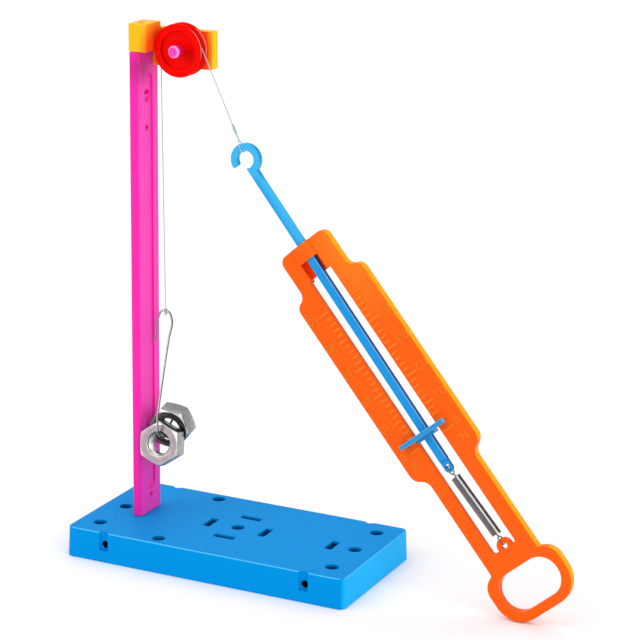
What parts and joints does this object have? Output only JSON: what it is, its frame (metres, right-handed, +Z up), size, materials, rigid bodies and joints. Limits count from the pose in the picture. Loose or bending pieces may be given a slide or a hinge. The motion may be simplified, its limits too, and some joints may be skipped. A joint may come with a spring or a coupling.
{
  "type": "pulley demonstrator",
  "caption": "Classroom pulley demonstrator: a post with a red pulley, a string with two hexagon nuts on a wire hook, and an orange spring scale.",
  "frame": {"origin": "centre of the base plate's underside, on the table", "axes": "+Z up, +X along the base plate from the post towards the spring scale, +Y away from the front"},
  "size_m": [0.2515, 0.075, 0.2596],
  "materials": {
    "base_blue": "gloss",
    "post_pink": "satin",
    "bracket_yellow": "satin",
    "pulley_red": "gloss",
    "scale_orange": "gloss",
    "rod_blue": "gloss",
    "steel": "satin",
    "string_white": "matte"
  },
  "bodies": {
    "frame": {"base_plate": "base_blue", "upright_post": "post_pink", "head_bracket": "bracket_yellow", "axle_peg": "post_pink", "string_weight_run": "string_white", "string_groove_wrap": "string_white", "string_scale_run": "string_white"},
    "pulley": {"pulley_wheel": "pulley_red"},
    "weight_line": {"string_weight_knot": "string_white"},
    "weight_hook": {"weight_wire_hook": "steel"},
    "front_nut": {"hex_nut_front": "steel"},
    "rear_nut": {"hex_nut_rear": "steel"},
    "scale_line": {"string_scale_loop": "string_white"},
    "scale_rod_set": {"scale_rod": "rod_blue", "scale_pointer": "rod_blue", "tension_spring": "steel"},
    "scale_body": {"scale_housing": "scale_orange"}
  },
  "joints": [
    {"name": "weight_lower", "type": "slide", "parent": "frame", "child": "weight_line", "axis": [0.0145, 0, -0.9999], "range_m": [0, 0.027], "deforming": ["string_weight_run"]},
    {"name": "scale_rise", "type": "slide", "parent": "frame", "child": "scale_line", "axis": [-0.4534, 0.0523, 0.8898], "range_m": [0, 0.027], "deforming": ["string_scale_run"]},
    {"name": "pulley_spin", "type": "hinge", "parent": "frame", "child": "pulley", "pos_m": [-0.031, 0.00025, 0.247], "axis": [0, -1, 0], "range_deg": [0, 146]},
    {"name": "hook_swing", "type": "hinge", "parent": "weight_line", "child": "weight_hook", "pos_m": [-0.03991, 0.00025, 0.11941], "axis": [0, -1, 0], "range_deg": [0, 15]},
    {"name": "front_nut_swing", "type": "hinge", "parent": "weight_hook", "child": "front_nut", "pos_m": [-0.03561, -0.01045, 0.05891], "axis": [0.1176, -0.9622, 0.2458], "range_deg": [0, 20]},
    {"name": "rear_nut_swing", "type": "hinge", "parent": "weight_hook", "child": "rear_nut", "pos_m": [-0.03707, 0.00115, 0.06421], "axis": [0.1122, -0.9846, -0.134], "range_deg": [0, 20]},
    {"name": "scale_swing", "type": "hinge", "parent": "scale_line", "child": "scale_rod_set", "pos_m": [0.00538, -0.00284, 0.1993], "axis": [0, -0.999, 0.0436], "range_deg": [0, 50]},
    {"name": "scale_stretch", "type": "slide", "parent": "scale_rod_set", "child": "scale_body", "axis": [0.6355, -0.0337, -0.7714], "range_m": [-0.0044, 0.0712], "stiffness_N_per_m": 6.49, "springref_m": -0.0044, "deforming": ["tension_spring"]}
  ],
  "couplings": [
    {"joint": "scale_rise", "follows": "weight_lower", "ratio": 1},
    {"joint": "pulley_spin", "follows": "weight_lower", "rad_per_m": 92.98}
  ]
}
